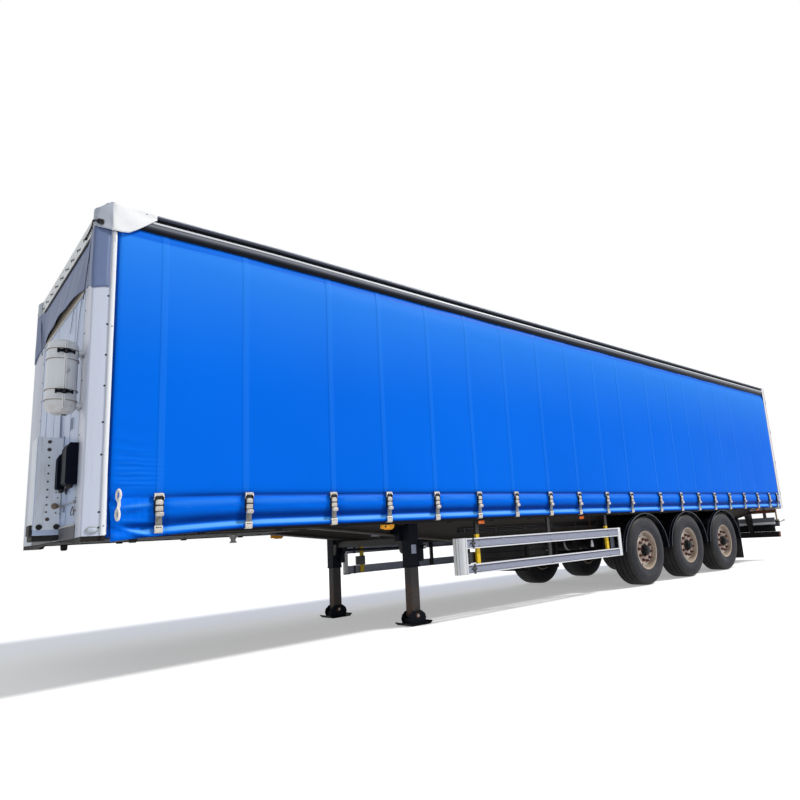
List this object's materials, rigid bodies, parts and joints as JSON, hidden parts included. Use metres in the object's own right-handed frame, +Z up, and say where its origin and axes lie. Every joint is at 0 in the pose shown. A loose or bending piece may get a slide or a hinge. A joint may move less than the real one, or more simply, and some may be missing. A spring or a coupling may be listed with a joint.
{
  "type": "semi trailer",
  "caption": "Curtain-sided semi trailer with a hollow load space, swinging rear doors, free-turning axle wheels, landing legs, side guards and a kingpin under its neck.",
  "frame": {"origin": "on the ground, below the middle of the vehicle's outline", "axes": "+X forwards towards the towing vehicle, +Y to the vehicle's left, +Z up"},
  "size_m": [14.061, 2.546, 3.8663],
  "materials": {
    "chassis_paint": "semi-gloss dark chassis paint, dusty",
    "front_white": "gloss white, dusty and streaked",
    "rail_navy": "dark navy, satin",
    "aluminium": "mill finish, weathered",
    "plywood": "film-faced hardwood plywood",
    "curtain_blue": "coated woven curtain fabric, semi-gloss",
    "tarp_grey": "coated woven fabric, dirty",
    "tarp_white": "coated woven fabric",
    "tyre": "worn black rubber, dusty side walls",
    "rim_paint": "cream paint with rust and dust",
    "steel": "machined and greased steel",
    "galvanised": "galvanised",
    "black_plastic": "matt black",
    "white_plastic": "moulded white plastic, dirty",
    "rubber": "black rubber",
    "lamp": "clear-coated amber and red lenses",
    "guard_yellow": "yellow paint"
  },
  "bodies": {
    "trailer": {"air_springs": "rubber", "air_tanks": "chassis_paint", "axles": "chassis_paint", "connector_box": "black_plastic", "coupler_plate": "chassis_paint", "coupling_console": "front_white", "cross_members": "chassis_paint", "curtain_left": "curtain_blue", "curtain_right": "curtain_blue", "extinguisher_case": "white_plastic", "front_frame": "chassis_paint", "front_posts": "front_white", "front_tarp": "tarp_grey", "front_wall": "front_white", "guard_posts": "guard_yellow", "kingpin": "steel", "lamp_carrier": "chassis_paint", "lamps": "lamp", "landing_feet": "chassis_paint", "landing_legs": "chassis_paint", "load_floor": "plywood", "main_beams": "chassis_paint", "mudflaps": "rubber", "mudguards": "black_plastic", "rear_bumpers": "rubber", "rear_frame": "chassis_paint", "roof_bows": "galvanised", "roof_rails": "rail_navy", "roof_tarp": "tarp_white", "side_guard_left": "aluminium", "side_guard_right": "aluminium", "side_posts": "galvanised", "side_rails": "chassis_paint", "spare_basket": "chassis_paint", "spare_rim": "rim_paint", "spare_tyre": "tyre", "suspension_hangers": "chassis_paint", "underrun_bar": "chassis_paint"},
    "wheelset_front_left": {"tyre_front_left": "tyre", "wheel_front_left": "rim_paint"},
    "wheelset_front_right": {"tyre_front_right": "tyre", "wheel_front_right": "rim_paint"},
    "wheelset_middle_left": {"tyre_middle_left": "tyre", "wheel_middle_left": "rim_paint"},
    "wheelset_middle_right": {"tyre_middle_right": "tyre", "wheel_middle_right": "rim_paint"},
    "wheelset_rear_left": {"tyre_rear_left": "tyre", "wheel_rear_left": "rim_paint"},
    "wheelset_rear_right": {"tyre_rear_right": "tyre", "wheel_rear_right": "rim_paint"},
    "door_left": {"rear_door_left": "front_white", "lock_bars_left": "galvanised"},
    "door_right": {"rear_door_right": "front_white", "lock_bars_right": "galvanised"},
    "case_lid": {"extinguisher_lid": "white_plastic"}
  },
  "joints": [
    {"name": "axle_front_left_spin", "type": "hinge", "parent": "trailer", "child": "wheelset_front_left", "pos_m": [-1.0655, 1.064, 0.536], "axis": [0, 1, 0], "continuous": true},
    {"name": "axle_front_right_spin", "type": "hinge", "parent": "trailer", "child": "wheelset_front_right", "pos_m": [-1.0655, -1.064, 0.536], "axis": [0, 1, 0], "continuous": true},
    {"name": "axle_middle_left_spin", "type": "hinge", "parent": "trailer", "child": "wheelset_middle_left", "pos_m": [-2.4755, 1.064, 0.536], "axis": [0, 1, 0], "continuous": true},
    {"name": "axle_middle_right_spin", "type": "hinge", "parent": "trailer", "child": "wheelset_middle_right", "pos_m": [-2.4755, -1.064, 0.536], "axis": [0, 1, 0], "continuous": true},
    {"name": "axle_rear_left_spin", "type": "hinge", "parent": "trailer", "child": "wheelset_rear_left", "pos_m": [-3.8855, 1.064, 0.536], "axis": [0, 1, 0], "continuous": true},
    {"name": "axle_rear_right_spin", "type": "hinge", "parent": "trailer", "child": "wheelset_rear_right", "pos_m": [-3.8855, -1.064, 0.536], "axis": [0, 1, 0], "continuous": true},
    {"name": "rear_door_left_swing", "type": "hinge", "parent": "trailer", "child": "door_left", "pos_m": [-6.9775, 1.258, 2.4], "axis": [0, 0, -1], "range_deg": [0, 255]},
    {"name": "rear_door_right_swing", "type": "hinge", "parent": "trailer", "child": "door_right", "pos_m": [-6.9775, -1.258, 2.4], "axis": [0, 0, 1], "range_deg": [0, 255]},
    {"name": "case_lid_swing", "type": "hinge", "parent": "trailer", "child": "case_lid", "pos_m": [6.9155, 0.775, 2.4], "axis": [0, 0, -1], "range_deg": [0, 100]}
  ]
}
